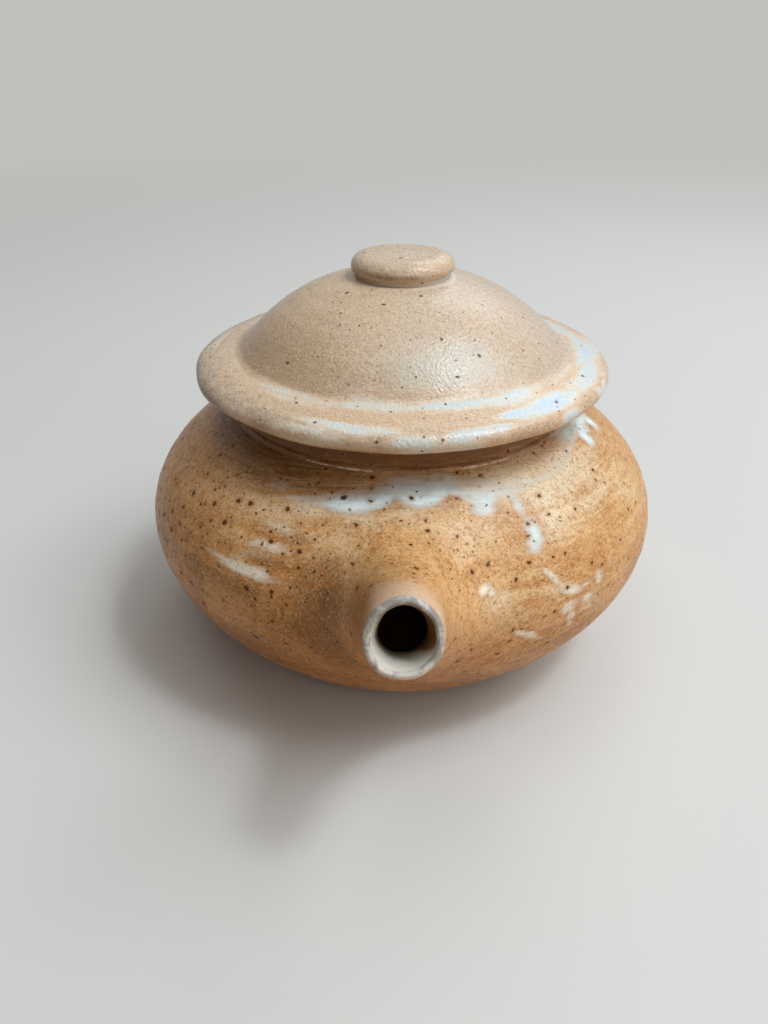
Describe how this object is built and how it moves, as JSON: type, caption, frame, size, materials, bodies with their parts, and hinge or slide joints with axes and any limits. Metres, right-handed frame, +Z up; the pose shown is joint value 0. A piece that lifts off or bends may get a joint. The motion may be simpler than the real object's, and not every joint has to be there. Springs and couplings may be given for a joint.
{
  "type": "stoneware teapot",
  "caption": "Squat round stoneware teapot with a short upturned spout, a rear strap handle and a domed lift-off lid with a wide brim and flat knob.",
  "frame": {"origin": "centre of the foot ring's resting face, on the table", "axes": "+Z up along the pot's axis, the spout points along -Y, the handle is at +Y"},
  "size_m": [0.176, 0.2589, 0.1335],
  "materials": {
    "body_glaze": "satin ochre glaze with iron specks and milky white runs",
    "lid_glaze": "satin tan glaze with fine iron specks and a milky white brim",
    "bare_clay": "unglazed toasted stoneware"
  },
  "bodies": {
    "pot": {"pot_body": "body_glaze", "foot_ring": "bare_clay", "spout": "body_glaze", "handle": "body_glaze"},
    "lid": {"lid": "lid_glaze", "lid_flange": "bare_clay", "lid_knob": "lid_glaze"}
  },
  "joints": [
    {"name": "lid_lift", "type": "slide", "parent": "pot", "child": "lid", "axis": [0, 0, 1], "range_m": [0, 0.12]}
  ]
}
